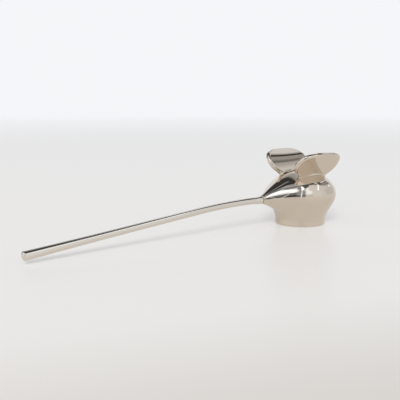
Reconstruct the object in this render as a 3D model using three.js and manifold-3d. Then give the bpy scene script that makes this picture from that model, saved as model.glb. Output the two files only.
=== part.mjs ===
// A candle snuffer. Its bell is a hollow casting shaped as a rounded animal head with a drawn-out
// snout, two petal-shaped ears are soldered into pockets on the crown, and a slim handle screws onto a stud
// in the end of the snout. Millimetres, +Z up, bell mouth on the table, handle towards -X.
import * as THREE from 'three';
import { mergeVertices } from 'three/addons/utils/BufferGeometryUtils.js';
import Module from 'manifold-3d';

const wasm = await Module();
wasm.setup();

// Bell: a drop lying along X, round behind and drawn out into the snout in front
const DROP_BACK = 21.3;
const DROP_WIDEST = 1;
const DROP_HALF_WIDTH = 20.5;
const DROP_HALF_HEIGHT = 14.2;
const DROP_MIDDLE_HEIGHT = 18.2;
const SNOUT_REACH = 30.9;
const SNOUT_END_RADIUS = 2.35;
const STUD_AXIS_HEIGHT = 16.9;

// Bell: the round skirt under the drop, and the hollow curve where they meet
const RIM_RADIUS = 15;
const RIM_ROUND = 0.7;
const NECK_BLEND = 5.4;

// Bell: inside, a plain drafted core with a domed end
const RIM_WALL = 2.2;
const CORE_DRAFT = 0.8;
const CORE_STRAIGHT = 18;
const CORE_DOME = 7;

// Ears: dished petals, squarer above than towards the root, set by the middle of their root, below
// the crown, and their lean
const EAR_HALF_WIDTH = 16.1;
const EAR_HALF_HEIGHT = 10.3;
const EAR_TOP_SQUARENESS = 2.8;
const EAR_ROOT_SQUARENESS = 1.76;
const EAR_THICKNESS = 3;
const EAR_TOP_FLARE = 0.9;
const EAR_END_CURL = 0.7;
const EAR_ROOT = { back: 0.67, side: 6.29, depth: 4.76 };
const EAR_LEAN = THREE.MathUtils.degToRad(37);
const EAR_SPLAY = THREE.MathUtils.degToRad(2.8);

// Solder bead along each ear's root
const SOLDER_REACH = 0.8;
const SOLDER_GAP = 0.25;
const POCKET_CLEARANCE = 0.3;

// Handle: straight by the stud, then a long bend, then straight to a thicker tip
const HANDLE_LENGTH = 145;
const HANDLE_RADIUS = 1.9;
const ROOT_FLARE_LENGTH = 4;
const BEND_LENGTH = 36;
const BEND_ANGLE = THREE.MathUtils.degToRad(6.1);
const TIP_RADIUS = 2.38;
const TIP_TAPER_LENGTH = 58;
const TIP_ROUND = 0.8;
const TIP_DOME = 0.4;

// Threaded stud, and the thin washer between the shoulders of snout and handle
const STUD_RADIUS = 1.25;
const STUD_CHAMFER = 0.35;
const STUD_IN_SNOUT = 6;
const STUD_IN_HANDLE = 6;
const SOCKET_SPARE = 1;
const STUD_CLEARANCE = 0.15;
const WASHER_THICKNESS = 0.4;
const WASHER_INSET = 0.25;
const SHOULDER_GAP = 0.1;

// Places that follow from the sizes above. The snout's slimness makes front and back of the drop
// bend equally where they meet.
const BACK_LENGTH = DROP_BACK - DROP_WIDEST;
const FRONT_LENGTH = SNOUT_REACH + DROP_WIDEST;
const SNOUT_SLIMNESS = (FRONT_LENGTH / BACK_LENGTH) ** 2 / 2;
const CROWN_HEIGHT = DROP_MIDDLE_HEIGHT + DROP_HALF_HEIGHT;
const SKIRT_TOP = DROP_MIDDLE_HEIGHT - NECK_BLEND;
const HANDLE_START = WASHER_THICKNESS + 2 * SHOULDER_GAP;
const SOCKET_RADIUS = STUD_RADIUS + STUD_CLEARANCE;
const BEND_START = STUD_IN_HANDLE + SOCKET_SPARE;
const BEND_RADIUS = BEND_LENGTH / BEND_ANGLE;

// How finely round shapes are cut into flats
const DROP_SIDES = 48;
const DROP_FRONT_RINGS = 12;
const DROP_BACK_RINGS = 10;
const SKIRT_SIDES = 64;
const SKIRT_ROWS = 10;
const DOME_ROWS = 6;
const EAR_SIDES = 40;
const EAR_RINGS = 4;
const ROD_SIDES = 20;
const ROD_STEPS = 22;
const EDGE_STEPS = 4;

const NICKEL = { color: 0xc9bca4, roughness: 0.08, metalness: 1 };
const BRIGHT_SOLDER = { color: 0xc2b7a3, roughness: 0.2, metalness: 1 };
const SPRING_BRASS = { color: 0xc4b48e, roughness: 0.25, metalness: 1 };
const STEEL = { color: 0x8f9093, roughness: 0.35, metalness: 1 };

function point(x, y) {
  return new THREE.Vector2(x, y);
}

// A closed solid of revolution about Z; the profile runs upwards on its outer side.
function revolve(profile, sides) {
  return new THREE.LatheGeometry(profile, sides).rotateX(Math.PI / 2);
}

// Evenly spaced shares from 0 to 1.
function shares(count) {
  return Array.from({ length: count + 1 }, (_, step) => step / count);
}

function moveVertices(geometry, move) {
  const places = geometry.getAttribute('position');
  const vertex = new THREE.Vector3();
  for (let i = 0; i < places.count; i += 1) {
    move(vertex.fromBufferAttribute(places, i));
    places.setXYZ(i, vertex.x, vertex.y, vertex.z);
  }
  return geometry;
}

function solidOf(geometry) {
  const bare = geometry.clone();
  bare.deleteAttribute('normal');
  bare.deleteAttribute('uv');
  const merged = mergeVertices(bare);
  return new wasm.Manifold(new wasm.Mesh({
    numProp: 3,
    vertProperties: new Float32Array(merged.getAttribute('position').array),
    triVerts: new Uint32Array(merged.getIndex().array),
  }));
}

function geometryOf(solid) {
  const { vertProperties, triVerts } = solid.getMesh();
  const geometry = new THREE.BufferGeometry();
  geometry.setAttribute('position', new THREE.BufferAttribute(vertProperties, 3));
  geometry.setIndex(new THREE.BufferAttribute(triVerts, 1));
  geometry.computeVertexNormals();
  return geometry;
}

function piece(name, geometry, finish) {
  const mesh = new THREE.Mesh(geometry, new THREE.MeshStandardMaterial(finish));
  mesh.name = name;
  return mesh;
}

// The drop's half width, half height and axis height at a place along X.
function dropSection(x) {
  const inFront = x < DROP_WIDEST;
  const share = (x - DROP_WIDEST) / (inFront ? -FRONT_LENGTH : BACK_LENGTH);
  const fullness = Math.max(0, 1 - share ** 2) ** (inFront ? SNOUT_SLIMNESS : 0.5);
  const least = inFront ? SNOUT_END_RADIUS * (1 - fullness) ** 2 : 0;
  const dip = inFront ? (DROP_MIDDLE_HEIGHT - STUD_AXIS_HEIGHT) * share ** 3 : 0;
  return {
    halfWidth: DROP_HALF_WIDTH * fullness + least,
    halfHeight: DROP_HALF_HEIGHT * fullness + least,
    axis: DROP_MIDDLE_HEIGHT - dip,
  };
}

// The drop, grown outwards by a margin: rings across X, closed by a flat face at the snout's end.
function drop(margin) {
  const quarter = Math.PI / 2;
  const backAngles = shares(DROP_BACK_RINGS).slice(1, -1).map((share) => share * quarter);
  const back = backAngles.map((angle) => DROP_WIDEST + BACK_LENGTH * Math.sin(angle));
  const front = shares(DROP_FRONT_RINGS).map((share) => -SNOUT_REACH + FRONT_LENGTH * share);
  const rings = [...front, ...back].map((x) => point(1, x));
  const tube = revolve([point(0, -SNOUT_REACH), ...rings, point(0, DROP_BACK + margin)], DROP_SIDES);
  return moveVertices(tube, (v) => {
    const { halfWidth, halfHeight, axis } = dropSection(v.z);
    v.set(v.z, v.x * (halfWidth + margin), axis + v.y * (halfHeight + margin));
  });
}

// Below zero inside the bell, above zero outside: drop and skirt with a hollow curve between them.
function bellField(x, y, z, inset) {
  const { halfWidth, halfHeight, axis } = dropSection(x);
  const tiny = 1e-3;
  const width = Math.max(tiny, halfWidth - inset);
  const height = Math.max(tiny, halfHeight - inset);
  const toDrop = (Math.hypot(y / width, (z - axis) / height) - 1) * Math.min(width, height);
  const toSkirt = Math.hypot(x, y) - RIM_RADIUS;
  const overlap = Math.max(0, NECK_BLEND - Math.abs(toDrop - toSkirt)) / NECK_BLEND;
  return Math.min(toDrop, toSkirt) - overlap ** 2 * NECK_BLEND / 4;
}

// The skirt's radius at a height, found by halving. It dives a hair under the drop's surface, so
// that the two meet along one clean line.
function skirtRadius(turn, height) {
  const dive = 0.15;
  const halvings = 40;
  let inside = 0;
  let outside = 2 * SNOUT_REACH;
  for (let step = 0; step < halvings; step += 1) {
    const middle = (inside + outside) / 2;
    const field = bellField(middle * Math.cos(turn), middle * Math.sin(turn), height, dive);
    if (field < 0) inside = middle;
    else outside = middle;
  }
  return inside;
}

function skirt() {
  const round = RIM_ROUND / RIM_RADIUS;
  const rim = new THREE.EllipseCurve(1 - round, RIM_ROUND, round, RIM_ROUND, -Math.PI / 2, 0);
  const wall = shares(SKIRT_ROWS).slice(2).map((share) => point(1, share * SKIRT_TOP));
  const profile = [point(0, 0), ...rim.getPoints(EDGE_STEPS), ...wall, point(0, SKIRT_TOP)];
  return moveVertices(revolve(profile, SKIRT_SIDES), (v) => {
    const radius = skirtRadius(Math.atan2(v.y, v.x), v.z);
    v.set(v.x * radius, v.y * radius, v.z);
  });
}

function bellCore() {
  const mouth = RIM_RADIUS - RIM_WALL;
  const below = 1;
  const domeEdge = mouth - CORE_DRAFT;
  const dome = new THREE.EllipseCurve(0, CORE_STRAIGHT, domeEdge, CORE_DOME, 0, Math.PI / 2);
  const domePoints = dome.getPoints(DOME_ROWS).slice(0, -1);
  const top = point(0, CORE_STRAIGHT + CORE_DOME);
  const profile = [point(0, -below), point(mouth, -below), point(mouth, 0), ...domePoints, top];
  return revolve(profile, SKIRT_SIDES);
}

// A round bar along Z, from one height to another, for bores.
function bar(radius, from, to) {
  return revolve([point(0, from), point(radius, from), point(radius, to), point(0, to)], ROD_SIDES);
}

// The ear lies in X and Y, its outer face towards +Z, its root towards -Y.
function earBlank(margin) {
  const half = EAR_THICKNESS / 2 + margin;
  const reach = EAR_HALF_WIDTH + margin;
  const edge = new THREE.EllipseCurve(reach - half, 0, half, half, -Math.PI / 2, Math.PI / 2);
  const faceRings = shares(EAR_RINGS).slice(1, -1).map((share) => share * (reach - half));
  const coin = revolve([
    point(0, -half),
    ...faceRings.map((ring) => point(ring, -half)),
    ...edge.getPoints(EDGE_STEPS),
    ...faceRings.toReversed().map((ring) => point(ring, half)),
    point(0, half),
  ], EAR_SIDES);
  return moveVertices(coin, (v) => {
    const turn = Math.atan2(v.y, v.x);
    const squareness = v.y > 0 ? EAR_TOP_SQUARENESS : EAR_ROOT_SQUARENESS;
    const corner = Math.abs(Math.cos(turn)) ** squareness + Math.abs(Math.sin(turn)) ** squareness;
    const stretch = corner ** (-1 / squareness);
    v.x *= stretch;
    v.y *= stretch * (EAR_HALF_HEIGHT + margin) / reach;
    v.z += EAR_TOP_FLARE * (v.y / EAR_HALF_HEIGHT) ** 2 - EAR_END_CURL * (v.x / EAR_HALF_WIDTH) ** 2;
  });
}

// side is +1 for the ear at +Y and -1 for the ear at -Y.
function earPlace(side) {
  const along = new THREE.Vector3(-side, 0, 0);
  const up = new THREE.Vector3(0, side * Math.sin(EAR_LEAN), Math.cos(EAR_LEAN));
  const outward = new THREE.Vector3(0, side * Math.cos(EAR_LEAN), -Math.sin(EAR_LEAN));
  const splay = new THREE.Matrix4().makeRotationZ(side * EAR_SPLAY);
  const turned = splay.multiply(new THREE.Matrix4().makeBasis(along, up, outward));
  const root = new THREE.Vector3(EAR_ROOT.back, side * EAR_ROOT.side, CROWN_HEIGHT - EAR_ROOT.depth);
  return turned.setPosition(root.addScaledVector(up, EAR_HALF_HEIGHT));
}

function earSolid(side, margin) {
  return solidOf(earBlank(margin).applyMatrix4(earPlace(side)));
}

function ear(name, side) {
  const mesh = piece(name, earBlank(0), NICKEL);
  mesh.applyMatrix4(earPlace(side));
  return mesh;
}

function earSolder(name, side) {
  const corner = solidOf(drop(SOLDER_REACH)).intersect(earSolid(side, SOLDER_REACH));
  const bead = corner.subtract(solidOf(drop(SOLDER_GAP))).subtract(earSolid(side, SOLDER_GAP));
  return piece(name, geometryOf(bead), BRIGHT_SOLDER);
}

function bellHead() {
  const socket = bar(SOCKET_RADIUS, -STUD_IN_SNOUT - SOCKET_SPARE, SHOULDER_GAP);
  const head = solidOf(drop(0))
    .add(solidOf(skirt()))
    .subtract(solidOf(bellCore()))
    .subtract(solidOf(socket.applyMatrix4(studPlace())))
    .subtract(earSolid(1, POCKET_CLEARANCE))
    .subtract(earSolid(-1, POCKET_CLEARANCE));
  return piece('bell_head', geometryOf(head), NICKEL);
}

// The stud's line: Z runs out of the snout along the handle, X stays up.
function studPlace() {
  const place = new THREE.Matrix4().makeRotationY(-Math.PI / 2);
  return place.setPosition(-SNOUT_REACH, 0, STUD_AXIS_HEIGHT);
}

// Radius of the handle at a distance from its shoulder.
function handleRadius(along) {
  const rootFlare = (SNOUT_END_RADIUS - HANDLE_RADIUS) * Math.exp(-((along / ROOT_FLARE_LENGTH) ** 2));
  const taper = Math.max(0, (along - HANDLE_LENGTH + TIP_TAPER_LENGTH) / TIP_TAPER_LENGTH);
  return HANDLE_RADIUS + rootFlare + (TIP_RADIUS - HANDLE_RADIUS) * taper ** 2;
}

// Bends a straight bar that runs along Z down towards -X, and starts it at the washer.
function bendHandle(v) {
  const bent = THREE.MathUtils.clamp(v.z - BEND_START, 0, BEND_LENGTH);
  const before = Math.min(v.z, BEND_START);
  const beyond = Math.max(0, v.z - BEND_START - BEND_LENGTH);
  const angle = bent / BEND_RADIUS;
  const down = BEND_RADIUS * (1 - Math.cos(angle)) + beyond * Math.sin(angle);
  const out = before + BEND_RADIUS * Math.sin(angle) + beyond * Math.cos(angle);
  v.set(v.x * Math.cos(angle) - down, v.y, HANDLE_START + out + v.x * Math.sin(angle));
}

// Half the outline of the handle before it is bent, with closer steps by the root.
function handleOutline() {
  const crowding = 1.6;
  const bodyEnd = HANDLE_LENGTH - TIP_ROUND - TIP_DOME;
  const steps = shares(ROD_STEPS).map((share) => bodyEnd * share ** crowding);
  const body = steps.map((along) => point(handleRadius(along), along));
  const edge = handleRadius(bodyEnd) - TIP_ROUND;
  const round = new THREE.EllipseCurve(edge, bodyEnd, TIP_ROUND, TIP_ROUND, 0, Math.PI / 2);
  return [point(0, 0), ...body, ...round.getPoints(EDGE_STEPS).slice(1), point(0, HANDLE_LENGTH)];
}

function handle() {
  const bent = moveVertices(revolve(handleOutline(), ROD_SIDES), bendHandle);
  const socket = bar(SOCKET_RADIUS, 0, HANDLE_START + STUD_IN_HANDLE + SOCKET_SPARE);
  return piece('handle', geometryOf(solidOf(bent).subtract(solidOf(socket))), NICKEL);
}

function threadedStud() {
  const from = -STUD_IN_SNOUT;
  const to = HANDLE_START + STUD_IN_HANDLE;
  const nose = STUD_RADIUS - STUD_CHAMFER;
  return piece('threaded_stud', revolve([
    point(0, from),
    point(nose, from),
    point(STUD_RADIUS, from + STUD_CHAMFER),
    point(STUD_RADIUS, to - STUD_CHAMFER),
    point(nose, to),
    point(0, to),
  ], ROD_SIDES), STEEL);
}

function shimWasher() {
  const outer = SNOUT_END_RADIUS - WASHER_INSET;
  const from = SHOULDER_GAP;
  const to = SHOULDER_GAP + WASHER_THICKNESS;
  const start = point(SOCKET_RADIUS, from);
  const ring = [start, point(outer, from), point(outer, to), point(SOCKET_RADIUS, to), start];
  return piece('shim_washer', revolve(ring, ROD_SIDES), SPRING_BRASS);
}

const handleLine = new THREE.Group();
handleLine.applyMatrix4(studPlace());
handleLine.add(shimWasher(), threadedStud(), handle());

const snuffer = new THREE.Group();
snuffer.add(bellHead(), ear('right_ear', 1), ear('left_ear', -1));
snuffer.add(earSolder('right_ear_solder', 1), earSolder('left_ear_solder', -1), handleLine);

// The origin is the middle of the whole snuffer's outline on the table.
const outline = new THREE.Box3().setFromObject(snuffer);
snuffer.position.x = -(outline.min.x + outline.max.x) / 2;

export default snuffer;
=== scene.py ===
# The looks of a mirror-polished candle snuffer: a bell shaped as a round-eared animal head, a slim bent
# handle, and the stud and washer between them. Metres, +Z up, the bell's mouth on the table.
import math

import bmesh
import bpy
from mathutils import Matrix, Vector


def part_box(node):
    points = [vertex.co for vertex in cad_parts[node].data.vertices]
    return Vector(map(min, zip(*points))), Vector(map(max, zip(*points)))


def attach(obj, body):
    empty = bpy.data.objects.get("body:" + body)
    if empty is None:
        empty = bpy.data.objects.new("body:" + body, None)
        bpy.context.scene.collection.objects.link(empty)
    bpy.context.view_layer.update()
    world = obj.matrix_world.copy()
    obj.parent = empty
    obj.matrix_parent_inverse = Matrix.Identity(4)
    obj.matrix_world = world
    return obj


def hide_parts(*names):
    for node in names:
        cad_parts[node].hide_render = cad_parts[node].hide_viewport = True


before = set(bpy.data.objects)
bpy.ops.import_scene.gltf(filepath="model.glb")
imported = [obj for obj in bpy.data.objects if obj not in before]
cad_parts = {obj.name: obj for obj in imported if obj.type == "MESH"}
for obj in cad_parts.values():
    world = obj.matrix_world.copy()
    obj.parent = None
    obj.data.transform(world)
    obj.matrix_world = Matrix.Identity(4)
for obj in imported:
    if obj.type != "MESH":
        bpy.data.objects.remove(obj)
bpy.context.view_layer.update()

MM = 0.001

# Points this close are one point, and edges sharper than these angles are shaded as edges
WELD = 1e-7
CUT_TOLERANCE = 1e-8
SHARP_EDGE = math.radians(40)
THREAD_SHARP_EDGE = math.radians(60)

# Bell: a drop lying along X, round behind and drawn out into the snout in front
DROP_BACK = 21.3 * MM
DROP_WIDEST = 1 * MM
DROP_HALF_WIDTH = 20.5 * MM
DROP_HALF_HEIGHT = 14.2 * MM
DROP_MIDDLE_HEIGHT = 18.2 * MM
SNOUT_REACH = 30.9 * MM
SNOUT_END_RADIUS = 2.35 * MM
STUD_AXIS_HEIGHT = 16.9 * MM
BACK_LENGTH = DROP_BACK - DROP_WIDEST
FRONT_LENGTH = SNOUT_REACH + DROP_WIDEST
SNOUT_SLIMNESS = (FRONT_LENGTH / BACK_LENGTH) ** 2 / 2
CROWN_HEIGHT = DROP_MIDDLE_HEIGHT + DROP_HALF_HEIGHT

# Bell: the round skirt, its rim and the core inside
RIM_RADIUS = 15 * MM
RIM_ROUND = 0.7 * MM
RIM_WALL = 2.2 * MM
MOUTH_RADIUS = RIM_RADIUS - RIM_WALL
MOUTH_ROUND = 0.25 * MM
NECK_BLEND = 5.4 * MM
CORE_DRAFT = 0.8 * MM
CORE_STRAIGHT = 18 * MM
CORE_DOME = 7 * MM

# The frame's pieces are cut in flats, so the ears and the handle stop this much inside their curves
FLATS = 0.034 * MM

# Ears
EAR_HALF_WIDTH = 16.1 * MM
EAR_HALF_HEIGHT = 10.3 * MM
EAR_TOP_SQUARENESS = 2.8
EAR_ROOT_SQUARENESS = 1.76
EAR_THICKNESS = 3 * MM
EAR_TOP_FLARE = 0.9 * MM
EAR_END_CURL = 0.7 * MM
EAR_ROOT_BACK = 0.67 * MM
EAR_ROOT_SIDE = 6.29 * MM
EAR_ROOT_DEPTH = 4.76 * MM
EAR_LEAN = math.radians(37)
EAR_SPLAY = math.radians(2.8)
SOLDER_REACH = 0.8 * MM
SOLDER_SINK = 0.3 * MM

# Handle
HANDLE_LENGTH = 145 * MM - FLATS
HANDLE_RADIUS = 1.9 * MM
ROOT_FLARE_LENGTH = 4 * MM
BEND_LENGTH = 36 * MM
BEND_ANGLE = math.radians(6.1)
BEND_RADIUS = BEND_LENGTH / BEND_ANGLE
TIP_RADIUS = 2.38 * MM
TIP_TAPER_LENGTH = 58 * MM
TIP_ROUND = 0.8 * MM
TIP_DOME = 0.4 * MM

# Stud and washer
STUD_RADIUS = 1.25 * MM
STUD_CHAMFER = 0.35 * MM
STUD_IN_SNOUT = 6 * MM
STUD_IN_HANDLE = 6 * MM
THREAD_PITCH = 0.45 * MM
THREAD_DEPTH = 0.24 * MM
THREAD_CREST_SHARE = 0.12
THREAD_FLANK_SHARE = 0.7
SOCKET_SPARE = 1 * MM
SOCKET_RADIUS = 1.4 * MM
SOCKET_POINT_SLOPE = math.radians(31)
SOCKET_POINT = SOCKET_RADIUS * math.tan(SOCKET_POINT_SLOPE)
WASHER_THICKNESS = 0.4 * MM
WASHER_INSET = 0.25 * MM
WASHER_ROUND = 0.08 * MM
SHOULDER_GAP = 0.1 * MM
SHOULDER_ROUND = 0.12 * MM
HANDLE_START = WASHER_THICKNESS + 2 * SHOULDER_GAP
BEND_START = STUD_IN_HANDLE + SOCKET_SPARE

# Bell: how finely it is cut, and where its rows lie
BELL_SIDES = 320
CROWDING_TO_SNOUT = 0.82
CROWDING_TO_CROWN = 1.45
CORE_DOME_STEPS = 16
CORE_WALL_STEPS = 9
CORE_WALL_TOP = 0.95
CORE_WALL_FOOT = 0.05
MOUTH_ROUND_STEPS = 4
RIM_ROUND_STEPS = 8
SKIRT_STEPS = 26
SKIRT_START = 1.3 * MM
SKIRT_END = 14 * MM
SNOUT_BAND_STEPS = 16
SNOUT_BAND_START = 14.2 * MM
CROWN_STEPS = 72
CROWN_START = 0.01
SKIN_SPARE = 2 * MM
SKIN_HALVINGS = 23
MOUTH_MARGIN = 0.02 * MM
RIM_MARGIN = 0.1 * MM

# Ears and solder: how finely they are cut, and how far round the ear's root the solder's line is sought
EAR_SIDES = 224
EAR_FACE_STEPS = 28
EAR_EDGE_STEPS = 16
SOLDER_STEPS = 144
SOLDER_FACE_STEPS = 7
ROOT_SEARCH_LENGTH = 15 * MM
ROOT_SEARCH_WIDTH = 2.4 * MM
ROOT_SEARCH_REACH = 1.4
ROOT_SEARCH_LOW = -1.3 * EAR_HALF_HEIGHT
ROOT_SEARCH_HIGH = 0.8 * EAR_HALF_HEIGHT
ROOT_HALVINGS = 18

# Handle, stud and washer: how finely they are cut
HANDLE_SIDES = 72
HANDLE_STEPS = 240
HANDLE_SOCKET_STEPS = 8
SNOUT_SOCKET_STEPS = 6
SHOULDER_STEPS = 5
PAST_SHOULDER = 0.4 * MM
TIP_ROUND_STEPS = 12
TIP_ROUND_DEGREES = 84
TIP_DOME_STEPS = 8
TIP_DOME_EDGE = 0.95
STUD_SIDES = 48
STUD_STEPS = 360
WASHER_SIDES = 72
WASHER_ROUND_STEPS = 3

# The bell's own axis stands here in the frame
BELL_AXIS_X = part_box("bell_head")[1].x - DROP_BACK
TO_FRAME = Matrix.Translation((BELL_AXIS_X, 0, 0))

# The camera, from where the middle of the bell's mouth is seen in the photograph
PICTURE_PIXELS = 400
MOUTH_PIXEL = (299.7, 222.5)
METRES_PER_PIXEL = 0.608 * MM
CAMERA_DISTANCE = 419 * MM
CAMERA_TURN = math.radians(-35.8)
CAMERA_RISE = math.radians(11.1)
SENSOR_MM = 36
CAMERA_CLIP_START = 0.01

# The table top. Its front, towards the camera, is darker with painted shade, and it fades into the wall
# far behind.
FLOOR_HALF_SIZE = 12.0
FLOOR_DROP = 0.05 * MM
FLOOR_COLOUR = (0.415, 0.39, 0.36)
FLOOR_FRONT_SHADE = (0.29, 0.265, 0.23)
FLOOR_FRONT_START = 0.11
FLOOR_FRONT_END = 0.215
FLOOR_FRONT_TURN = math.radians(20)
FLOOR_GLOW = 0.34
FLOOR_ROUGHNESS = 0.3
FLOOR_SHINE = 0.04
FLOOR_FADE_START = 0.5
FLOOR_FADE_END = 1.9

# The pale wall all round, and the lamp that stands by the camera
BACKGROUND = (0.905, 0.92, 0.94, 1)
LAMP_TURN = math.radians(-8)
LAMP_RISE = math.radians(33)
LAMP_DISTANCE = 2.0
LAMP_SIZE = 0.66
LAMP_POWER = 32

# The studio as the metal sees it. Directions are in degrees, round from the camera to its right and up
# from the table. A panel has its name, its left and right side, its lowest and highest rise, how that
# rise leans with each degree round, the softness of its edge, and its light. A later panel stands before
# an earlier one.
STUDIO_PANELS = [
    ("side_wall", 50, 150, -20, 62, 0, 8, (0.80, 0.83, 0.86)),
    ("right_wall", 20, 66, -20, 50, 0, 8, (0.86, 0.885, 0.915)),
    ("right_wall_light", 19.5, 34, 17, 58, 0, 4, (1.2, 1.3, 1.45)),
    ("right_wall_foot", 19, 36, 2, 8, 0, 2, (0.64, 0.66, 0.68)),
    ("right_wall_shade", 82, 132, -20, 30, 0, 9, (0.67, 0.70, 0.72)),
    ("back_wall", 146, 202, -20, 30, 0, 13, (0.92, 0.96, 1.02)),
    ("ceiling", -181, 181, 80, 100, 0, 4, (0.36, 0.39, 0.43)),
    ("near_right_ceiling", 58, 80, 63, 84, 0, 2.5, (0.12, 0.13, 0.145)),
    ("right_ceiling", 74, 138, 52.5, 84, -0.15, 3, (0.12, 0.13, 0.145)),
    ("far_ceiling", 70, 179, 62, 85, 0, 2, (0.03, 0.03, 0.03)),
    ("front_ceiling", -120, 62, 67, 79, 0, 3, (0.24, 0.27, 0.32)),
    ("ceiling_corner", 23.5, 58, 60.2, 80, 0.4, 2.5, (0.11, 0.12, 0.13)),
    ("back_upper_wall", -182, -163, 33, 77, 0, 4, (0.42, 0.44, 0.46)),
    ("back_ceiling", -171, -112, 15, 130, -1.0, 4.5, (0.05, 0.05, 0.055)),
    ("back_ceiling_lamp", -158, -126, 64, 69, 0, 2, (0.30, 0.33, 0.38)),
    ("left_corner", -126, -94, 18, 50, 0, 5, (0.16, 0.17, 0.19)),
    ("front_lamp_glow", -46, 4.5, 43.5, 66, -0.35, 4, (1.1, 1.2, 1.33)),
    ("front_lamp", -42, 4.5, 54, 65.5, -0.35, 3, (1.75, 1.9, 2.1)),
    ("front_lamp_foot", -3, 4, 38.5, 58, 0, 2.5, (1.6, 1.75, 1.95)),
    ("front_opening", -16, 8, 4, 38, 0, 3.5, (0.22, 0.235, 0.265)),
    ("front_curtain", 7, 19, 0, 54, 0, 2, (0.36, 0.39, 0.43)),
    ("front_foot", -14, 8, 5, 20, 0, 2.5, (0.06, 0.06, 0.06)),
    ("curtain_foot", 7, 19, 4, 14, 0, 2.5, (0.18, 0.18, 0.18)),
    ("curtain_rail", 6.5, 16, 50, 78, 0, 1.5, (0.33, 0.36, 0.40)),
    ("curtain_edge", 12, 13.4, -2, 52, 0, 0.7, (1.3, 1.42, 1.65)),
    ("curtain_top", 16.5, 22.3, 53, 68, 0, 1, (1.7, 1.85, 2.1)),
    ("opening_edge", -2.9, -2.1, 4, 36, 0, 0.5, (0.9, 1.0, 1.1)),
    ("right_seam", 58, 86, 45.3, 47.7, 0.5, 0.7, (2.2, 2.4, 2.7)),
    ("far_seam", 116, 130, 22, 26.5, 0, 1, (1.5, 1.65, 1.85)),
    ("shelf_light", 88, 134, 45.5, 57, -0.58, 1.5, (0.83, 0.89, 0.97)),
    ("shelf_shade", 88, 134, 31, 36, -0.58, 3, (0.52, 0.54, 0.55)),
    ("shelf_face", 88, 134, 36, 46, -0.58, 1, (0.41, 0.42, 0.43)),
    ("shelf_under", 88, 134, 35.5, 38.5, -0.58, 1.5, (0.2, 0.205, 0.21)),
    ("shelf_edge", 88, 134, 42.8, 44.7, -0.58, 0.5, (0.03, 0.03, 0.03)),
    ("upper_wall", 98, 132, 49.2, 66, 0, 1.2, (0.03, 0.03, 0.03)),
    ("upper_wall_front", 94, 107, 47.5, 55, 0.12, 1.2, (0.12, 0.12, 0.13)),
    ("upper_wall_back", 134, 159, 43, 49, -0.3, 1.5, (0.04, 0.04, 0.04)),
]

# A colour Mix node names its sockets more than once, so they are taken by number
MIX_FIRST, MIX_SECOND, MIX_RESULT = 6, 7, 2

# Most of a noise texture lies between these values
NOISE_LOW, NOISE_HIGH = 0.3, 0.7

HALF_TURN = 180


def spread(low, high, steps):
    return [low + (high - low) * step / steps for step in range(steps + 1)]


def arc(centre, radius, start, end, steps):
    """Points of a round stretch; angles in degrees, from the first axis to the second."""
    angles = [math.radians(angle) for angle in spread(start, end, steps)]
    return [(centre[0] + radius * math.cos(a), centre[1] + radius * math.sin(a)) for a in angles]


def spun(profile, sides, closed=False):
    """A surface of revolution about Z from a profile of (radius, height) points."""
    bm = bmesh.new()
    verts = [bm.verts.new((radius, 0, height)) for radius, height in profile]
    edges = [bm.edges.new(pair) for pair in zip(verts, verts[1:])]
    if closed:
        edges.append(bm.edges.new((verts[-1], verts[0])))
    bmesh.ops.spin(bm, geom=verts + edges, cent=(0, 0, 0), axis=(0, 0, 1), angle=math.tau,
                   steps=sides, use_merge=True)
    return bm


def turn_of(vert):
    return math.atan2(vert.co.y, vert.co.x)


def close_up(bm):
    """Merges what meets at poles and seams, and turns the faces outwards."""
    bmesh.ops.remove_doubles(bm, verts=bm.verts, dist=WELD)
    bmesh.ops.recalc_face_normals(bm, faces=bm.faces)


def finished(name, bm, body, materials, nodes, sharp=SHARP_EDGE):
    """Puts a mesh in the scene as a smooth piece that rides on a body in place of CAD nodes."""
    mesh = bpy.data.meshes.new(name)
    bm.to_mesh(mesh)
    bm.free()
    mesh.shade_smooth()
    mesh.set_sharp_from_angle(angle=sharp)
    for material in materials:
        mesh.materials.append(material)
    piece = bpy.data.objects.new(name, mesh)
    bpy.context.scene.collection.objects.link(piece)
    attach(piece, body)
    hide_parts(*nodes)
    return piece


# Bell

def drop_section(x):
    """The drop's half width, half height and axis height at a place along X."""
    in_front = x < DROP_WIDEST
    share = (DROP_WIDEST - x) / FRONT_LENGTH if in_front else (x - DROP_WIDEST) / BACK_LENGTH
    fullness = max(0.0, 1 - share ** 2) ** (SNOUT_SLIMNESS if in_front else 0.5)
    least = SNOUT_END_RADIUS * (1 - fullness) ** 2 if in_front else 0
    dip = (DROP_MIDDLE_HEIGHT - STUD_AXIS_HEIGHT) * share ** 3 if in_front else 0
    half_width = DROP_HALF_WIDTH * fullness + least
    half_height = DROP_HALF_HEIGHT * fullness + least
    return half_width, half_height, DROP_MIDDLE_HEIGHT - dip


def bell_field(x, y, z):
    """Below zero inside the bell's outline, above zero outside, in metres near the surface."""
    half_width, half_height, axis = drop_section(x)
    width, height = max(WELD, half_width), max(WELD, half_height)
    to_drop = (math.hypot(y / width, (z - axis) / height) - 1) * min(width, height)
    to_skirt = math.hypot(x, y) - RIM_RADIUS
    if z > DROP_MIDDLE_HEIGHT:
        to_skirt = max(to_skirt, z - DROP_MIDDLE_HEIGHT)
    overlap = max(0.0, NECK_BLEND - abs(to_drop - to_skirt)) / NECK_BLEND
    return min(to_drop, to_skirt) - overlap ** 2 * NECK_BLEND / 4


def bell_normal(place):
    """The way out of the bell at a place on its skin."""
    step = 0.01 * MM
    slopes = []
    for axis in (Vector((step, 0, 0)), Vector((0, step, 0)), Vector((0, 0, step))):
        slopes.append(bell_field(*(place + axis)) - bell_field(*(place - axis)))
    return Vector(slopes).normalized()


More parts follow.
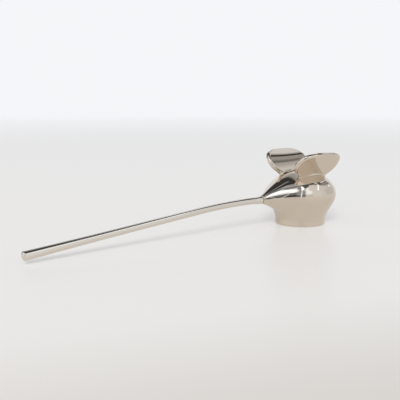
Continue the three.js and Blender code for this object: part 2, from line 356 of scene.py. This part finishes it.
def halve(low, high, outside, halvings):
    """The place between low and high where outside turns true."""
    for _ in range(halvings):
        middle = (low + high) / 2
        if outside(middle):
            high = middle
        else:
            low = middle
    return high


def skin_point(height, turn, rise):
    """Where a ray from the bell's axis leaves the bell; past the snout's end it stops in the open."""
    way = Vector((math.cos(rise) * math.cos(turn), math.cos(rise) * math.sin(turn), math.sin(rise)))

    def outside(reach):
        return bell_field(way.x * reach, way.y * reach, height + way.z * reach) > 0

    return way * halve(0, SNOUT_REACH + SKIN_SPARE, outside, SKIN_HALVINGS) + Vector((0, 0, height))


def core_rows():
    """The inside of the bell from its top to the rim's outer round, as (radius, height)."""
    top_radius = MOUTH_RADIUS - CORE_DRAFT
    rows = [(top_radius * math.cos(a), CORE_STRAIGHT + CORE_DOME * math.sin(a))
            for a in spread(math.pi / 2, 0, CORE_DOME_STEPS)]
    rows += [(MOUTH_RADIUS - CORE_DRAFT * share, CORE_STRAIGHT * share)
             for share in spread(CORE_WALL_TOP, CORE_WALL_FOOT, CORE_WALL_STEPS)]
    rows += arc((MOUTH_RADIUS + MOUTH_ROUND, MOUTH_ROUND), MOUTH_ROUND, 180, 270, MOUTH_ROUND_STEPS)
    rows += arc((RIM_RADIUS - RIM_ROUND, RIM_ROUND), RIM_ROUND, -90, 0, RIM_ROUND_STEPS)
    return rows


def skin_rows():
    """The outside of the bell from the rim to the crown, as (height on the axis, rise of the ray)."""
    skirt = [(height, 0.0) for height in spread(SKIRT_START, SKIRT_END, SKIRT_STEPS)]
    snout = [(height, 0.0) for height in spread(SNOUT_BAND_START, STUD_AXIS_HEIGHT, SNOUT_BAND_STEPS)]
    crown = [(STUD_AXIS_HEIGHT, math.radians(90 * share ** CROWDING_TO_CROWN))
             for share in spread(CROWN_START, 1, CROWN_STEPS)]
    return skirt + snout + crown


def bell_head(materials):
    """The hollow head: rows of the core and of the skin, spun and then drawn out to the drop's shape."""
    core = core_rows()
    rows = core + skin_rows()
    bm = spun([(1, row) for row in range(len(rows))], BELL_SIDES)
    for vert in bm.verts:
        row = round(vert.co.z)
        turn = turn_of(vert)
        turn += CROWDING_TO_SNOUT * math.sin(turn)
        first, second = rows[row]
        if row < len(core):
            vert.co = (first * math.cos(turn), first * math.sin(turn), second)
        else:
            vert.co = skin_point(first, turn, second)
    close_up(bm)
    snout_end(bm)
    bmesh.ops.recalc_face_normals(bm, faces=bm.faces)
    for face in bm.faces:
        middle = face.calc_center_median()
        below_dome = middle.z < CORE_STRAIGHT + CORE_DOME
        in_mouth = math.hypot(middle.x, middle.y) < MOUTH_RADIUS + MOUTH_MARGIN
        face.material_index = int(below_dome and in_mouth)
    bm.transform(TO_FRAME)
    piece = finished("polished_bell_head", bm, "head", materials, ["bell_head"])
    follow_skin(piece.data)


def follow_skin(mesh):
    """Shades the bell's outside by its own formula, so that its reflections run clean."""
    on_skin = {}
    for vert in mesh.vertices:
        place = vert.co - TO_FRAME.translation
        above_rim = place.z > RIM_ROUND + RIM_MARGIN
        before_end = place.x > -SNOUT_REACH + SHOULDER_ROUND
        if above_rim and before_end and abs(bell_field(*place)) < WELD:
            on_skin[vert.index] = bell_normal(place)
    normals = []
    for loop, corner in zip(mesh.loops, mesh.corner_normals):
        normals.append(on_skin.get(loop.vertex_index, corner.vector))
    mesh.normals_split_custom_set([tuple(normal) for normal in normals])


def snout_end(bm):
    """Cuts the snout square, rounds its edge and bores the stud's socket into it."""
    cut = -SNOUT_REACH + SHOULDER_ROUND
    geometry = bm.verts[:] + bm.edges[:] + bm.faces[:]
    bmesh.ops.bisect_plane(bm, geom=geometry, dist=CUT_TOLERANCE, plane_co=(cut, 0, 0),
                           plane_no=(-1, 0, 0), clear_outer=True)
    loop = [edge for edge in bm.edges if edge.is_boundary]
    depth = -SNOUT_REACH + STUD_IN_SNOUT + SOCKET_SPARE
    shoulder = arc((0, 0), SHOULDER_ROUND, 0, 90, SHOULDER_STEPS)[1:]
    rings = [(SNOUT_END_RADIUS - SHOULDER_ROUND + out, cut - along) for out, along in shoulder]
    rings += [(SOCKET_RADIUS + SHOULDER_ROUND, -SNOUT_REACH), (SOCKET_RADIUS, cut)]
    rings += [(SOCKET_RADIUS, place) for place in spread(cut + PAST_SHOULDER, depth, SNOUT_SOCKET_STEPS)]
    rings += [(0, depth + SOCKET_POINT)]
    for radius, place in rings:
        grown = bmesh.ops.extrude_edge_only(bm, edges=loop)["geom"]
        loop = [item for item in grown if isinstance(item, bmesh.types.BMEdge)]
        for vert in [item for item in grown if isinstance(item, bmesh.types.BMVert)]:
            around = math.atan2(vert.co.z - STUD_AXIS_HEIGHT, vert.co.y)
            vert.co = (place, radius * math.cos(around), STUD_AXIS_HEIGHT + radius * math.sin(around))
    bmesh.ops.remove_doubles(bm, verts=bm.verts, dist=WELD)


# Ears, in their own axes: root towards -Y, outer face towards +Z

def ear_place(side):
    """From the ear's own axes to its place on the crown."""
    up = Vector((0, side * math.sin(EAR_LEAN), math.cos(EAR_LEAN)))
    outward = Vector((0, side * math.cos(EAR_LEAN), -math.sin(EAR_LEAN)))
    turned = Matrix((Vector((-side, 0, 0)), up, outward)).transposed()
    turned = Matrix.Rotation(side * EAR_SPLAY, 3, "Z") @ turned
    root = Vector((EAR_ROOT_BACK, side * EAR_ROOT_SIDE, CROWN_HEIGHT - EAR_ROOT_DEPTH))
    return Matrix.Translation(root + up * EAR_HALF_HEIGHT) @ turned.to_4x4()


def dish(x, y):
    """How far the ear's middle plane stands out at a place on it."""
    return EAR_TOP_FLARE * (y / EAR_HALF_HEIGHT) ** 2 - EAR_END_CURL * (x / EAR_HALF_WIDTH) ** 2


def ear_squareness(y):
    return EAR_TOP_SQUARENESS if y > 0 else EAR_ROOT_SQUARENESS


def ear_field(x, y, z):
    """Below zero inside the ear, above zero outside."""
    level = y * EAR_HALF_WIDTH / EAR_HALF_HEIGHT
    squareness = ear_squareness(y)
    ring = (abs(x) ** squareness + abs(level) ** squareness) ** (1 / squareness)
    beyond = max(0.0, ring - EAR_HALF_WIDTH + EAR_THICKNESS / 2)
    return math.hypot(beyond, z - dish(x, y)) - EAR_THICKNESS / 2


def ear(name, side, materials, node):
    """A round-edged disc, spun, then stretched to the petal's outline and dished."""
    half = EAR_THICKNESS / 2
    reach = EAR_HALF_WIDTH - FLATS
    flat = reach - half
    profile = [(ring, -half) for ring in spread(0, flat, EAR_FACE_STEPS)]
    profile += arc((flat, 0), half, -90, 90, EAR_EDGE_STEPS)[1:-1]
    profile += [(ring, half) for ring in spread(flat, 0, EAR_FACE_STEPS)]
    bm = spun(profile, EAR_SIDES)
    for vert in bm.verts:
        turn = turn_of(vert)
        squareness = ear_squareness(vert.co.y)
        corner = abs(math.cos(turn)) ** squareness + abs(math.sin(turn)) ** squareness
        stretch = corner ** (-1 / squareness)
        vert.co.x *= stretch
        vert.co.y *= stretch * (EAR_HALF_HEIGHT - FLATS) / reach
        vert.co.z += dish(vert.co.x, vert.co.y)
    close_up(bm)
    bm.transform(TO_FRAME @ ear_place(side))
    finished(name, bm, "head", materials, [node])


def root_point(place, turn, off_bell, off_ear):
    """A point round the ear's root that stands given distances off the bell and off the ear."""
    way_x = ROOT_SEARCH_LENGTH * math.cos(turn)
    way_z = ROOT_SEARCH_WIDTH * math.sin(turn)

    def on_bell(share):
        x = way_x * share

        def point(y):
            return Vector((x, y, dish(x, y) + way_z * share))

        def off(y):
            return bell_field(*(place @ point(y))) > off_bell

        return point(halve(ROOT_SEARCH_LOW, ROOT_SEARCH_HIGH, off, ROOT_HALVINGS))

    def clear_of_ear(share):
        return ear_field(*on_bell(share)) > off_ear

    return place @ on_bell(halve(0, ROOT_SEARCH_REACH, clear_of_ear, ROOT_HALVINGS))


def ear_solder(name, side, materials, node):
    """A bead of solder round the ear's root, with a hollow face between bell and ear."""
    place = ear_place(side)
    bm = spun([(1, row) for row in range(SOLDER_FACE_STEPS + 2)], SOLDER_STEPS, closed=True)
    rings = {}
    for vert in bm.verts:
        rings.setdefault(round(turn_of(vert) / math.tau * SOLDER_STEPS), []).append(vert)
    for ring, verts in rings.items():
        turn = math.tau * ring / SOLDER_STEPS
        centre = root_point(place, turn, SOLDER_REACH, SOLDER_REACH)
        on_bell = root_point(place, turn, 0, SOLDER_REACH) - centre
        on_ear = root_point(place, turn, SOLDER_REACH, 0) - centre
        sunk = root_point(place, turn, -SOLDER_SINK, -SOLDER_SINK)
        for vert in verts:
            row = round(vert.co.z)
            if row > SOLDER_FACE_STEPS:
                vert.co = sunk
                continue
            share = row / SOLDER_FACE_STEPS
            reach = on_bell.length * (1 - share) + on_ear.length * share
            vert.co = centre + on_bell.normalized().slerp(on_ear.normalized(), share) * reach
    close_up(bm)
    bm.transform(TO_FRAME)
    finished(name, bm, "head", materials, [node])


# Handle, in its own line: Z runs out of the snout along the handle, X stays up

def handle_place():
    """From the handle's own line to its place on the end of the snout."""
    turned = Matrix.Rotation(-math.pi / 2, 4, "Y")
    return TO_FRAME @ Matrix.Translation((-SNOUT_REACH, 0, STUD_AXIS_HEIGHT)) @ turned


def handle_radius(along):
    root_flare = (SNOUT_END_RADIUS - HANDLE_RADIUS) * math.exp(-((along / ROOT_FLARE_LENGTH) ** 2))
    taper = max(0.0, (along - HANDLE_LENGTH + TIP_TAPER_LENGTH) / TIP_TAPER_LENGTH)
    return HANDLE_RADIUS + root_flare + (TIP_RADIUS - HANDLE_RADIUS) * taper ** 2


def bend_handle(vert):
    """Moves a point of the straight handle to where the bend takes it."""
    x, y, z = vert.co
    bent = min(max(z - BEND_START, 0), BEND_LENGTH)
    before = min(z, BEND_START)
    beyond = max(0, z - BEND_START - BEND_LENGTH)
    angle = bent / BEND_RADIUS
    down = BEND_RADIUS * (1 - math.cos(angle)) + beyond * math.sin(angle)
    out = before + BEND_RADIUS * math.sin(angle) + beyond * math.cos(angle)
    vert.co = (x * math.cos(angle) - down, y, HANDLE_START + out + x * math.sin(angle))


def handle(materials):
    """The rod from the bottom of its socket, over the shoulder and along to the rounded tip."""
    depth = STUD_IN_HANDLE + SOCKET_SPARE
    body_end = HANDLE_LENGTH - TIP_ROUND - TIP_DOME
    profile = [(0, depth + SOCKET_POINT)]
    profile += [(SOCKET_RADIUS, along) for along in spread(depth, SHOULDER_ROUND, HANDLE_SOCKET_STEPS)]
    profile += [(SOCKET_RADIUS + SHOULDER_ROUND, 0)]
    shoulder = (SNOUT_END_RADIUS - SHOULDER_ROUND, SHOULDER_ROUND)
    profile += arc(shoulder, SHOULDER_ROUND, -90, 0, SHOULDER_STEPS)
    profile += [(handle_radius(along), along) for along in spread(PAST_SHOULDER, body_end, HANDLE_STEPS)]
    edge = handle_radius(body_end) - TIP_ROUND
    profile += arc((edge, body_end), TIP_ROUND, 0, TIP_ROUND_DEGREES, TIP_ROUND_STEPS)[1:]
    profile += [(edge * share, body_end + TIP_ROUND + TIP_DOME * (1 - share ** 2))
                for share in spread(TIP_DOME_EDGE, 0, TIP_DOME_STEPS)]
    bm = spun(profile, HANDLE_SIDES)
    for vert in bm.verts:
        bend_handle(vert)
    close_up(bm)
    bm.transform(handle_place())
    finished("polished_handle", bm, "handle", materials, ["handle"])


def threaded_stud(materials):
    """A rod whose radius follows a screw line, with chamfered ends."""
    start, end = -STUD_IN_SNOUT, HANDLE_START + STUD_IN_HANDLE
    side = [(STUD_RADIUS, along) for along in spread(start, end, STUD_STEPS)]
    bm = spun([(0, start)] + side + [(0, end)], STUD_SIDES)
    for vert in bm.verts:
        radius = math.hypot(vert.co.x, vert.co.y)
        if radius < STUD_RADIUS / 2:
            continue
        from_crest = abs((vert.co.z / THREAD_PITCH - turn_of(vert) / math.tau) % 1 * 2 - 1)
        flank = min(1.0, max(0.0, (from_crest - THREAD_CREST_SHARE) / THREAD_FLANK_SHARE))
        to_end = min(vert.co.z - start, end - vert.co.z)
        cone = STUD_RADIUS - STUD_CHAMFER + to_end
        grown = min(STUD_RADIUS - THREAD_DEPTH * flank, cone) / radius
        vert.co.x *= grown
        vert.co.y *= grown
    close_up(bm)
    bm.transform(handle_place())
    finished("threaded_steel_stud", bm, "handle", materials, ["threaded_stud"],
             sharp=THREAD_SHARP_EDGE)


def shim_washer(materials):
    """A flat ring with rounded edges between the snout and the handle."""
    outer = SNOUT_END_RADIUS - WASHER_INSET - WASHER_ROUND
    inner = SOCKET_RADIUS + WASHER_ROUND
    low, high = SHOULDER_GAP + WASHER_ROUND, SHOULDER_GAP + WASHER_THICKNESS - WASHER_ROUND
    corners = [((inner, low), 180), ((outer, low), 270), ((outer, high), 360), ((inner, high), 450)]
    profile = []
    for corner, start in corners:
        profile += arc(corner, WASHER_ROUND, start, start + 90, WASHER_ROUND_STEPS)
    bm = spun(profile, WASHER_SIDES, closed=True)
    close_up(bm)
    bm.transform(handle_place())
    finished("brass_shim_washer", bm, "washer", materials, ["shim_washer"])


# Finishes

class Finish:
    """A metal with its own colour, and helpers for the marks that work leaves on it."""

    def __init__(self, name, colour):
        self.material = bpy.data.materials.new(name)
        self.material.use_nodes = True
        self.tree = self.material.node_tree
        self.shader = self.tree.nodes["Principled BSDF"]
        self.shader.inputs["Metallic"].default_value = 1.0
        self.shader.inputs["Base Color"].default_value = (*colour, 1)
        self.place = self.tree.nodes.new("ShaderNodeTexCoord").outputs["Object"]

    def specks(self, size, detail=3.0, stretch=(1, 1, 1)):
        """Cloudy noise with specks of about a size, stretched along the axes."""
        mapping = self.tree.nodes.new("ShaderNodeMapping")
        mapping.inputs["Scale"].default_value = [1 / (size * part) for part in stretch]
        noise = self.tree.nodes.new("ShaderNodeTexNoise")
        noise.inputs["Scale"].default_value = 1.0
        noise.inputs["Detail"].default_value = detail
        self.tree.links.new(self.place, mapping.inputs["Vector"])
        self.tree.links.new(mapping.outputs["Vector"], noise.inputs["Vector"])
        return noise.outputs["Fac"]

    def roughness(self, pattern, low, high):
        """Roughness that follows a pattern between two values."""
        spread_out = self.tree.nodes.new("ShaderNodeMapRange")
        spread_out.inputs["From Min"].default_value = NOISE_LOW
        spread_out.inputs["From Max"].default_value = NOISE_HIGH
        spread_out.inputs["To Min"].default_value = low
        spread_out.inputs["To Max"].default_value = high
        self.tree.links.new(pattern, spread_out.inputs["Value"])
        self.tree.links.new(spread_out.outputs["Result"], self.shader.inputs["Roughness"])

    def tint(self, pattern, first, second):
        """Colour that follows a pattern between two shades."""
        ramp = self.tree.nodes.new("ShaderNodeValToRGB")
        ramp.color_ramp.elements[0].position = NOISE_LOW
        ramp.color_ramp.elements[0].color = (*first, 1)
        ramp.color_ramp.elements[1].position = NOISE_HIGH
        ramp.color_ramp.elements[1].color = (*second, 1)
        self.tree.links.new(pattern, ramp.inputs["Fac"])
        self.tree.links.new(ramp.outputs["Color"], self.shader.inputs["Base Color"])

    def bump(self, pattern, strength, height):
        """Relief that follows a pattern."""
        bump = self.tree.nodes.new("ShaderNodeBump")
        bump.inputs["Strength"].default_value = strength
        bump.inputs["Distance"].default_value = height
        self.tree.links.new(pattern, bump.inputs["Height"])
        self.tree.links.new(bump.outputs["Normal"], self.shader.inputs["Normal"])


def polished_nickel():
    """The cast head and its ears: warm, mirror-polished, with faint clouds in the plate."""
    nickel = Finish("polished_nickel", (0.70, 0.61, 0.51))
    nickel.tint(nickel.specks(size=9 * MM), first=(0.69, 0.60, 0.50), second=(0.71, 0.62, 0.52))
    nickel.roughness(nickel.specks(size=2.5 * MM, detail=5), low=0.03, high=0.06)
    return nickel.material


def drawn_nickel():
    """The handle's rod: paler than the cast head, drawn along its length and polished."""
    nickel = Finish("drawn_nickel", (0.745, 0.685, 0.61))
    clouds = nickel.specks(size=9 * MM, stretch=(4, 1, 1))
    nickel.tint(clouds, first=(0.735, 0.675, 0.60), second=(0.755, 0.695, 0.62))
    nickel.roughness(nickel.specks(size=1.5 * MM, detail=5, stretch=(8, 1, 1)), low=0.03, high=0.07)
    return nickel.material


def polished_solder():
    """The beads at the ears' roots: a little duller than the plate beside them."""
    solder = Finish("polished_solder", (0.72, 0.64, 0.54))
    solder.tint(solder.specks(size=2 * MM), first=(0.70, 0.62, 0.52), second=(0.74, 0.66, 0.56))
    solder.roughness(solder.specks(size=0.6 * MM, detail=5), low=0.14, high=0.24)
    return solder.material


def cast_inside():
    """The bell's inside: as cast, satin and a little grainy."""
    inside = Finish("satin_cast_inside", (0.5, 0.44, 0.36))
    inside.tint(inside.specks(size=6 * MM), first=(0.42, 0.37, 0.30), second=(0.54, 0.475, 0.39))
    inside.roughness(inside.specks(size=1.2 * MM, detail=6), low=0.3, high=0.46)
    inside.bump(inside.specks(size=0.45 * MM, detail=6), strength=0.35, height=0.05 * MM)
    return inside.material


def turned_brass():
    brass = Finish("turned_brass", (0.72, 0.6, 0.36))
    brass.tint(brass.specks(size=0.8 * MM), first=(0.66, 0.53, 0.30), second=(0.76, 0.64, 0.40))
    brass.roughness(brass.specks(size=0.2 * MM, detail=5), low=0.15, high=0.3)
    return brass.material


def rolled_steel():
    steel = Finish("rolled_steel", (0.4, 0.4, 0.41))
    steel.tint(steel.specks(size=0.9 * MM), first=(0.32, 0.32, 0.33), second=(0.44, 0.44, 0.45))
    steel.roughness(steel.specks(size=0.25 * MM, detail=5), low=0.22, high=0.4)
    return steel.material


# Stage

def soft_step(tree, value, low, high):
    """A smooth rise from 0 at low to 1 at high."""
    node = tree.nodes.new("ShaderNodeMapRange")
    node.interpolation_type = "SMOOTHSTEP"
    node.inputs["From Min"].default_value = low
    node.inputs["From Max"].default_value = high
    tree.links.new(value, node.inputs["Value"])
    return node.outputs["Result"]


def pale_table():
    """The table's finish: a pale, faintly glowing top, darker towards the camera with painted shade, that
    fades into the wall far behind.
    """
    material = bpy.data.materials.new("pale_table")
    material.use_nodes = True
    tree = material.node_tree
    link = tree.links.new
    shader = tree.nodes["Principled BSDF"]
    shader.inputs["Roughness"].default_value = FLOOR_ROUGHNESS
    shader.inputs["Specular IOR Level"].default_value = FLOOR_SHINE
    shader.inputs["Emission Color"].default_value = (1, 1, 1, 1)
    shader.inputs["Emission Strength"].default_value = FLOOR_GLOW
    place = tree.nodes.new("ShaderNodeTexCoord").outputs["Object"]

    # Painted shade: the table's colour darkens towards the camera's side, where the camera's shadow would
    # fall
    to_front = tree.nodes.new("ShaderNodeVectorMath")
    to_front.operation = "DOT_PRODUCT"
    front_turn = CAMERA_TURN + FLOOR_FRONT_TURN
    to_front.inputs[1].default_value = (math.sin(front_turn), -math.cos(front_turn), 0)
    link(place, to_front.inputs[0])
    colour = tree.nodes.new("ShaderNodeMix")
    colour.data_type = "RGBA"
    colour.inputs[MIX_FIRST].default_value = (*FLOOR_COLOUR, 1)
    colour.inputs[MIX_SECOND].default_value = (*FLOOR_FRONT_SHADE, 1)
    front = soft_step(tree, to_front.outputs["Value"], FLOOR_FRONT_START, FLOOR_FRONT_END)
    link(front, colour.inputs["Factor"])
    link(colour.outputs[MIX_RESULT], shader.inputs["Base Color"])

    far = tree.nodes.new("ShaderNodeEmission")
    far.inputs["Color"].default_value = BACKGROUND
    distance = tree.nodes.new("ShaderNodeVectorMath")
    distance.operation = "LENGTH"
    link(place, distance.inputs[0])
    fade = soft_step(tree, distance.outputs["Value"], FLOOR_FADE_START, FLOOR_FADE_END)
    mix = tree.nodes.new("ShaderNodeMixShader")
    link(fade, mix.inputs["Fac"])
    link(shader.outputs["BSDF"], mix.inputs[1])
    link(far.outputs["Emission"], mix.inputs[2])
    link(mix.outputs["Shader"], tree.nodes["Material Output"].inputs["Surface"])
    return material


def floor():
    bm = bmesh.new()
    bmesh.ops.create_grid(bm, x_segments=2, y_segments=2, size=FLOOR_HALF_SIZE,
                          matrix=Matrix.Translation((0, 0, -FLOOR_DROP)))
    mesh = bpy.data.meshes.new("table_top")
    bm.to_mesh(mesh)
    bm.free()
    mesh.materials.append(pale_table())
    plane = bpy.data.objects.new("table_top", mesh)
    bpy.context.scene.collection.objects.link(plane)


def table_lamp():
    """A soft lamp by the camera that casts the handle's faint shadow. The metal doesn't show it."""
    data = bpy.data.lights.new("table_lamp", "AREA")
    data.shape = "DISK"
    data.size = LAMP_SIZE
    data.energy = LAMP_POWER
    lamp = bpy.data.objects.new("table_lamp", data)
    turn = CAMERA_TURN + LAMP_TURN
    level = Vector((math.sin(turn), -math.cos(turn), 0))
    way = level * math.cos(LAMP_RISE) + Vector((0, 0, math.sin(LAMP_RISE)))
    aimed = way.to_track_quat("Z", "Y").to_matrix().to_4x4()
    lamp.matrix_world = Matrix.Translation(way * LAMP_DISTANCE) @ aimed
    lamp.visible_glossy = False
    bpy.context.scene.collection.objects.link(lamp)


def camera():
    """A camera that sees the middle of the bell's mouth where the photograph shows it."""
    focal_pixels = CAMERA_DISTANCE / METRES_PER_PIXEL
    half = PICTURE_PIXELS / 2
    across, down = MOUTH_PIXEL[0] - half, MOUTH_PIXEL[1] - half
    tilt = CAMERA_RISE - math.atan(down / focal_pixels)
    right = Vector((math.cos(CAMERA_TURN), math.sin(CAMERA_TURN), 0))
    level = Vector((math.sin(CAMERA_TURN), -math.cos(CAMERA_TURN), 0))
    back = level * math.cos(tilt) + Vector((0, 0, math.sin(tilt)))
    up = back.cross(right)
    place = METRES_PER_PIXEL * (down * up - across * right) + CAMERA_DISTANCE * back
    data = bpy.data.cameras.new("camera")
    data.sensor_width = SENSOR_MM
    data.lens = SENSOR_MM * focal_pixels / PICTURE_PIXELS
    data.clip_start = CAMERA_CLIP_START
    seen_from = bpy.data.objects.new("camera", data)
    turned = Matrix((right, up, back)).transposed().to_4x4()
    seen_from.matrix_world = TO_FRAME @ Matrix.Translation(place) @ turned
    bpy.context.scene.collection.objects.link(seen_from)
    bpy.context.scene.camera = seen_from


class Studio:
    """The world's nodes: a pale wall, which the camera sees plain and the metal with panels before it."""

    def __init__(self):
        world = bpy.data.worlds.new("studio")
        bpy.context.scene.world = world
        world.use_nodes = True
        self.tree = world.node_tree
        self.tree.nodes.clear()
        self.way = self.tree.nodes.new("ShaderNodeTexCoord").outputs["Generated"]
        to_right = self.along((math.cos(CAMERA_TURN), math.sin(CAMERA_TURN), 0))
        to_camera = self.along((math.sin(CAMERA_TURN), -math.cos(CAMERA_TURN), 0))
        self.round = self.math("DEGREES", self.math("ARCTAN2", to_right, to_camera))
        self.rise = self.math("DEGREES", self.math("ARCSINE", self.along((0, 0, 1))))

    def plug(self, socket, value):
        """Links a node's output to a socket, or sets the socket to a plain value."""
        if isinstance(value, bpy.types.NodeSocket):
            self.tree.links.new(value, socket)
        else:
            socket.default_value = value

    def math(self, operation, *values):
        node = self.tree.nodes.new("ShaderNodeMath")
        node.operation = operation
        for socket, value in zip(node.inputs, values):
            self.plug(socket, value)
        return node.outputs[0]

    def along(self, direction):
        """How far the looking direction runs along another."""
        node = self.tree.nodes.new("ShaderNodeVectorMath")
        node.operation = "DOT_PRODUCT"
        self.tree.links.new(self.way, node.inputs[0])
        node.inputs[1].default_value = direction
        return node.outputs["Value"]

    def beyond(self, value, edge, soft):
        """Rises from 0 to 1 where a value passes an edge."""
        return soft_step(self.tree, value, edge - soft, edge + soft)

    def panel(self, behind, name, left, right, low, high, lean, soft, light):
        """Stands a soft-edged panel before what is behind it."""
        middle, half = (left + right) / 2, (right - left) / 2
        aside = self.math("WRAP", self.math("SUBTRACT", self.round, middle), HALF_TURN, -HALF_TURN)
        outside = self.beyond(self.math("ABSOLUTE", aside), half, soft)
        level = self.math("SUBTRACT", self.rise, self.math("MULTIPLY", aside, lean))
        above_foot = self.beyond(level, low, soft)
        below_top = self.math("SUBTRACT", 1, self.beyond(level, high, soft))
        between = self.math("MULTIPLY", above_foot, below_top)
        cover = self.math("MULTIPLY", self.math("SUBTRACT", 1, outside), between)
        mix = self.tree.nodes.new("ShaderNodeMix")
        mix.label = name
        mix.data_type = "RGBA"
        self.plug(mix.inputs["Factor"], cover)
        self.plug(mix.inputs[MIX_FIRST], behind)
        self.plug(mix.inputs[MIX_SECOND], (*light, 1))
        return mix.outputs[MIX_RESULT]

    def finish(self, light):
        """Shows the camera the plain wall, and everything else the panels."""
        seen = self.tree.nodes.new("ShaderNodeBackground")
        seen.inputs["Color"].default_value = BACKGROUND
        lit = self.tree.nodes.new("ShaderNodeBackground")
        self.plug(lit.inputs["Color"], light)
        mix = self.tree.nodes.new("ShaderNodeMixShader")
        camera_ray = self.tree.nodes.new("ShaderNodeLightPath").outputs["Is Camera Ray"]
        output = self.tree.nodes.new("ShaderNodeOutputWorld")
        self.plug(mix.inputs["Fac"], camera_ray)
        self.plug(mix.inputs[1], lit.outputs["Background"])
        self.plug(mix.inputs[2], seen.outputs["Background"])
        self.plug(output.inputs["Surface"], mix.outputs["Shader"])


def studio():
    room = Studio()
    light = BACKGROUND
    for panel in STUDIO_PANELS:
        light = room.panel(light, *panel)
    room.finish(light)


bpy.context.scene.view_settings.view_transform = "Standard"
camera()
nickel = polished_nickel()
solder = polished_solder()
bell_head([nickel, cast_inside()])
ear("polished_right_ear", 1, [nickel], "right_ear")
ear("polished_left_ear", -1, [nickel], "left_ear")
ear_solder("right_ear_solder_bead", 1, [solder], "right_ear_solder")
ear_solder("left_ear_solder_bead", -1, [solder], "left_ear_solder")
handle([drawn_nickel()])
threaded_stud([rolled_steel()])
shim_washer([turned_brass()])
floor()
table_lamp()
studio()
